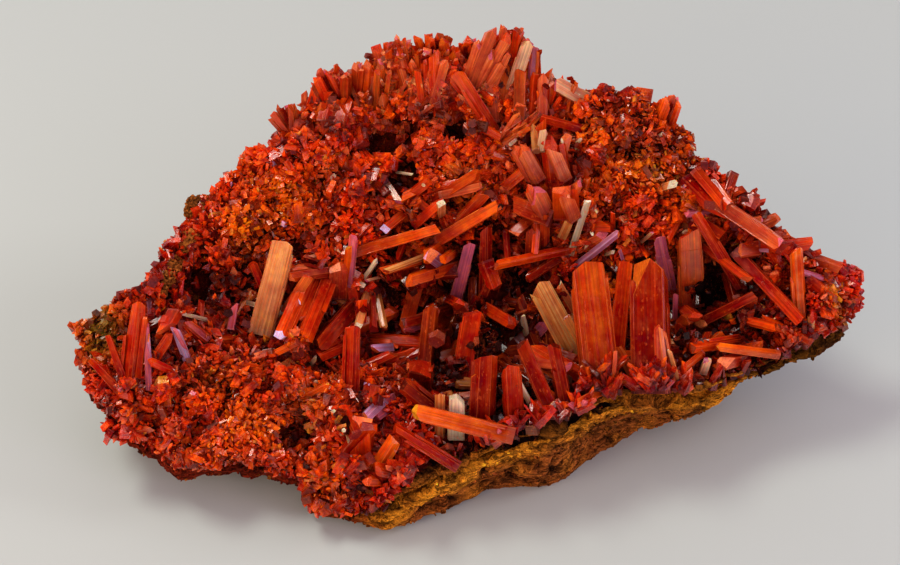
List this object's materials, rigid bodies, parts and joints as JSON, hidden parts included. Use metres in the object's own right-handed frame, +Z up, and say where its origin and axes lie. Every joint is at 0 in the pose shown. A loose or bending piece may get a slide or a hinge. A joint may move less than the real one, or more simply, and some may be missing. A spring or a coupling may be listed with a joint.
{
  "type": "crocoite specimen",
  "caption": "Hand-size mineral specimen: bright orange-red striated crocoite prisms scattered and bundled on a sparkling crystal crust over brown limonite matrix.",
  "frame": {"origin": "centre of the bounding box in plan, on the flat foot of the matrix", "axes": "+X along the long side towards the pointed right end, +Z up, the front with the hollow faces -Y"},
  "size_m": [0.1484, 0.0778, 0.0622],
  "materials": {
    "crocoite_prism": "adamantine, lengthwise striated, translucent orange-red crystal",
    "crocoite_druse": "sparkling microcrystalline orange-red crust",
    "limonite": "earthy, foliated, ochre to dark brown"
  },
  "bodies": {
    "root": {"centre_orange_prism": "crocoite_prism", "centre_spray": "crocoite_prism", "cream_stick": "crocoite_prism", "crocoite_crust": "crocoite_druse", "crossbar_prism": "crocoite_prism", "dark_upright_prism": "crocoite_prism", "diagonal_bar": "crocoite_prism", "end_on_prism": "crocoite_prism", "fibrous_block": "crocoite_prism", "front_capped_prism": "crocoite_prism", "front_dark_prism": "crocoite_prism", "front_lower_prism": "crocoite_prism", "front_lying_prism": "crocoite_prism", "front_narrow_prism": "crocoite_prism", "front_side_prism": "crocoite_prism", "front_slanted_prism": "crocoite_prism", "front_striated_prism": "crocoite_prism", "hollow_crossbar": "crocoite_prism", "lavender_blade": "crocoite_prism", "lavender_ended_pair": "crocoite_prism", "left_lobe_blade": "crocoite_prism", "left_lobe_prisms": "crocoite_prism", "left_red_prisms": "crocoite_prism", "limonite_matrix": "limonite", "long_low_bar": "crocoite_prism", "mauve_blade": "crocoite_prism", "pale_salmon_prism": "crocoite_prism", "pink_blade": "crocoite_prism", "pink_faced_stick": "crocoite_prism", "ridge_cleavage_plate": "crocoite_prism", "ridge_curved_block": "crocoite_prism", "ridge_front_prism": "crocoite_prism", "ridge_left_block": "crocoite_prism", "ridge_spike": "crocoite_prism", "ridge_striated_block": "crocoite_prism", "ridge_tan_prism": "crocoite_prism", "ridge_top_prism": "crocoite_prism", "right_dark_bar": "crocoite_prism", "right_end_on_prism": "crocoite_prism", "right_front_bar": "crocoite_prism", "right_lower_bar": "crocoite_prism", "right_orange_bar": "crocoite_prism", "right_salmon_prism": "crocoite_prism", "right_upper_bar": "crocoite_prism", "right_upright_bar": "crocoite_prism", "sparkling_prism": "crocoite_prism", "striated_tan_prism": "crocoite_prism", "tall_prism_left": "crocoite_prism", "tall_prism_middle": "crocoite_prism", "tall_prism_right": "crocoite_prism", "tan_short_stick": "crocoite_prism", "upright_red_prism": "crocoite_prism", "white_faced_crystal": "crocoite_prism"}
  },
  "joints": []
}
